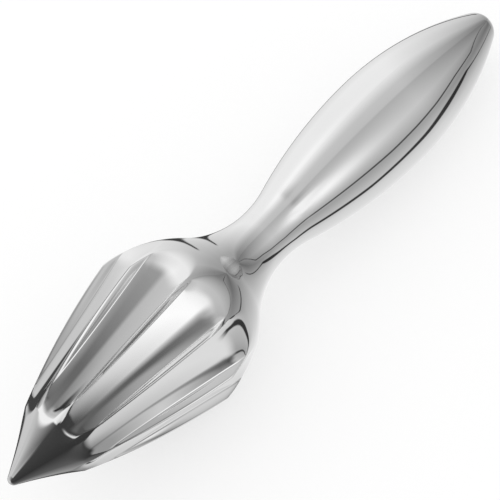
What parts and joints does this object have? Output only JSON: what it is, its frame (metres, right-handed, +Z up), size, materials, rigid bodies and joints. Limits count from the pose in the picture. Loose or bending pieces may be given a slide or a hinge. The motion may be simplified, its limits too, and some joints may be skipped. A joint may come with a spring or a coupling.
{
  "type": "citrus reamer",
  "caption": "Polished steel hand reamer for citrus fruit: pointed head with rounded ribs and scooped flutes, domed shoulder, waisted neck and hollow teardrop handle.",
  "frame": {"origin": "middle of the tool's box, on the surface that it lies on", "axes": "+Z up, +X from the tip towards the end of the handle, with the tool lying on two ribs and on the handle"},
  "size_m": [0.1694, 0.0424, 0.0405],
  "materials": {
    "polished_head": "mirror-polished cast stainless steel",
    "polished_handle": "mirror-polished pressed stainless steel sheet",
    "turned_steel": "bare turned stainless steel",
    "seal_rubber": "matt food-grade rubber"
  },
  "bodies": {
    "root": {"reamer_head": "polished_head", "handle_half_left": "polished_handle", "handle_half_right": "polished_handle", "handle_plug": "turned_steel", "joining_stud": "turned_steel", "seal_ring": "seal_rubber"}
  },
  "joints": []
}
